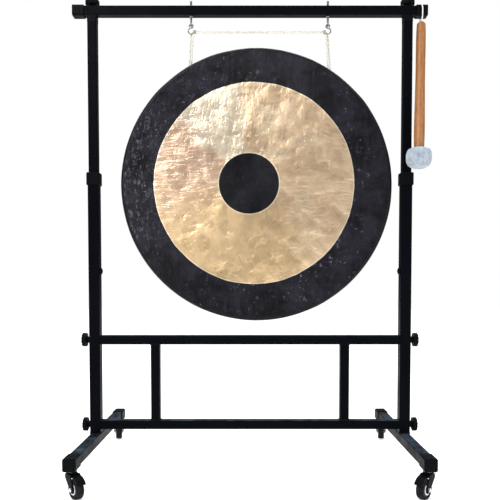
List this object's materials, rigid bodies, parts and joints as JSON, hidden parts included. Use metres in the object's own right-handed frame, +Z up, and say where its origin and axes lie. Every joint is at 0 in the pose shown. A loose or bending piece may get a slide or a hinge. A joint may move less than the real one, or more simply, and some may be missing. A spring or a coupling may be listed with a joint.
{
  "type": "tam tam gong on a rolling stand",
  "caption": "Large hammered gong hung by cords in a height-adjustable square-tube stand on swivel casters, with a felt-headed mallet.",
  "frame": {"origin": "on the floor under the middle of the stand, where its casters rest", "axes": "+Z up along the posts, +X along the crossbar towards the mallet, -Y towards the player"},
  "size_m": [0.9744, 0.6363, 1.2913],
  "materials": {
    "powder_coat": "satin powder coat",
    "moulded_black": "fine moulded texture",
    "zinc": "zinc plated",
    "bright_steel": "polished",
    "tyre_rubber": "matt",
    "hub_plastic": "moulded",
    "gong_bronze": "hammered, with dark scale outside the lathed band",
    "cord_cream": "braided cord",
    "cord_white": "braided cord",
    "turned_wood": "oiled",
    "core_wood": "plain turned",
    "felt": "thick felted fleece"
  },
  "bodies": {
    "stand_base": {"foot_left": "powder_coat", "foot_right": "powder_coat", "foot_caps": "moulded_black", "lower_post_left": "powder_coat", "lower_post_right": "powder_coat", "collars": "moulded_black", "mid_rail": "powder_coat", "bottom_rail": "powder_coat", "rail_inserts": "moulded_black", "struts": "powder_coat", "caster_stems": "zinc", "caster_nuts": "zinc"},
    "upper_frame": {"upper_post_left": "powder_coat", "upper_post_right": "powder_coat", "post_plugs": "moulded_black", "crossbar": "powder_coat", "bar_caps": "moulded_black", "eye_bolts": "zinc", "eye_bolt_fixings": "zinc", "mallet_loop": "cord_white"},
    "gong": {"gong": "gong_bronze", "s_hooks": "zinc", "gong_cord_front": "cord_cream", "gong_cord_back": "cord_cream", "hook_knots": "cord_cream", "rim_knots": "cord_cream"},
    "mallet": {"mallet_handle": "turned_wood", "mallet_core": "core_wood", "mallet_cover": "felt", "mallet_knot": "cord_white"},
    "top_knob_left": {"top_knob_left": "moulded_black", "top_stud_left": "zinc"},
    "mid_knob_left": {"mid_knob_left": "moulded_black", "mid_stud_left": "zinc"},
    "bottom_knob_left": {"bottom_knob_left": "moulded_black", "bottom_stud_left": "zinc"},
    "height_lock_left": {"height_lock_left": "moulded_black"},
    "top_knob_right": {"top_knob_right": "moulded_black", "top_stud_right": "zinc"},
    "mid_knob_right": {"mid_knob_right": "moulded_black", "mid_stud_right": "zinc"},
    "bottom_knob_right": {"bottom_knob_right": "moulded_black", "bottom_stud_right": "zinc"},
    "height_lock_right": {"height_lock_right": "moulded_black"},
    "caster_swivel_front_left": {"caster_fork_front_left": "moulded_black", "caster_axle_front_left": "bright_steel"},
    "caster_wheel_front_left": {"caster_tyre_front_left": "tyre_rubber", "caster_hub_front_left": "hub_plastic"},
    "caster_swivel_front_right": {"caster_fork_front_right": "moulded_black", "caster_axle_front_right": "bright_steel"},
    "caster_wheel_front_right": {"caster_tyre_front_right": "tyre_rubber", "caster_hub_front_right": "hub_plastic"},
    "caster_swivel_rear_left": {"caster_fork_rear_left": "moulded_black", "caster_axle_rear_left": "bright_steel"},
    "caster_wheel_rear_left": {"caster_tyre_rear_left": "tyre_rubber", "caster_hub_rear_left": "hub_plastic"},
    "caster_swivel_rear_right": {"caster_fork_rear_right": "moulded_black", "caster_axle_rear_right": "bright_steel"},
    "caster_wheel_rear_right": {"caster_tyre_rear_right": "tyre_rubber", "caster_hub_rear_right": "hub_plastic"}
  },
  "joints": [
    {"name": "height_slide", "type": "slide", "parent": "stand_base", "child": "upper_frame", "axis": [0, 0, 1], "range_m": [0, 0.15]},
    {"name": "gong_swing", "type": "hinge", "parent": "upper_frame", "child": "gong", "pos_m": [0, 0, 1.2275], "axis": [1, 0, 0], "range_deg": [-20, 20]},
    {"name": "mallet_swing", "type": "hinge", "parent": "upper_frame", "child": "mallet", "pos_m": [0.47, 0, 1.2355], "axis": [1, 0, 0], "range_deg": [-30, 0]},
    {"name": "top_knob_left_turn", "type": "hinge", "parent": "upper_frame", "child": "top_knob_left", "pos_m": [-0.432, 0, 1.279], "axis": [0, 0, 1], "continuous": true},
    {"name": "mid_knob_left_turn", "type": "hinge", "parent": "stand_base", "child": "mid_knob_left", "pos_m": [-0.455, 0, 0.3595], "axis": [1, 0, 0], "continuous": true},
    {"name": "bottom_knob_left_turn", "type": "hinge", "parent": "stand_base", "child": "bottom_knob_left", "pos_m": [-0.455, 0, 0.1215], "axis": [1, 0, 0], "continuous": true},
    {"name": "height_lock_left_turn", "type": "hinge", "parent": "stand_base", "child": "height_lock_left", "pos_m": [-0.416, 0, 0.551], "axis": [1, 0, 0], "continuous": true},
    {"name": "top_knob_right_turn", "type": "hinge", "parent": "upper_frame", "child": "top_knob_right", "pos_m": [0.432, 0, 1.279], "axis": [0, 0, 1], "continuous": true},
    {"name": "mid_knob_right_turn", "type": "hinge", "parent": "stand_base", "child": "mid_knob_right", "pos_m": [0.455, 0, 0.3595], "axis": [1, 0, 0], "continuous": true},
    {"name": "bottom_knob_right_turn", "type": "hinge", "parent": "stand_base", "child": "bottom_knob_right", "pos_m": [0.455, 0, 0.1215], "axis": [1, 0, 0], "continuous": true},
    {"name": "height_lock_right_turn", "type": "hinge", "parent": "stand_base", "child": "height_lock_right", "pos_m": [0.416, 0, 0.551], "axis": [1, 0, 0], "continuous": true},
    {"name": "caster_swivel_front_left_turn", "type": "hinge", "parent": "stand_base", "child": "caster_swivel_front_left", "pos_m": [-0.432, -0.246, 0.0605], "axis": [0, 0, 1], "continuous": true},
    {"name": "caster_wheel_front_left_roll", "type": "hinge", "parent": "caster_swivel_front_left", "child": "caster_wheel_front_left", "pos_m": [-0.417, -0.26209, 0.025], "axis": [0.7314, 0.682, 0], "continuous": true},
    {"name": "caster_swivel_front_right_turn", "type": "hinge", "parent": "stand_base", "child": "caster_swivel_front_right", "pos_m": [0.432, -0.246, 0.0605], "axis": [0, 0, 1], "continuous": true},
    {"name": "caster_wheel_front_right_roll", "type": "hinge", "parent": "caster_swivel_front_right", "child": "caster_wheel_front_right", "pos_m": [0.417, -0.26209, 0.025], "axis": [0.7314, -0.682, 0], "continuous": true},
    {"name": "caster_swivel_rear_left_turn", "type": "hinge", "parent": "stand_base", "child": "caster_swivel_rear_left", "pos_m": [-0.432, 0.296, 0.0605], "axis": [0, 0, 1], "continuous": true},
    {"name": "caster_wheel_rear_left_roll", "type": "hinge", "parent": "caster_swivel_rear_left", "child": "caster_wheel_rear_left", "pos_m": [-0.43657, 0.31752, 0.025], "axis": [-0.9781, -0.2079, 0], "continuous": true},
    {"name": "caster_swivel_rear_right_turn", "type": "hinge", "parent": "stand_base", "child": "caster_swivel_rear_right", "pos_m": [0.432, 0.296, 0.0605], "axis": [0, 0, 1], "continuous": true},
    {"name": "caster_wheel_rear_right_roll", "type": "hinge", "parent": "caster_swivel_rear_right", "child": "caster_wheel_rear_right", "pos_m": [0.43657, 0.31752, 0.025], "axis": [-0.9781, 0.2079, 0], "continuous": true}
  ]
}
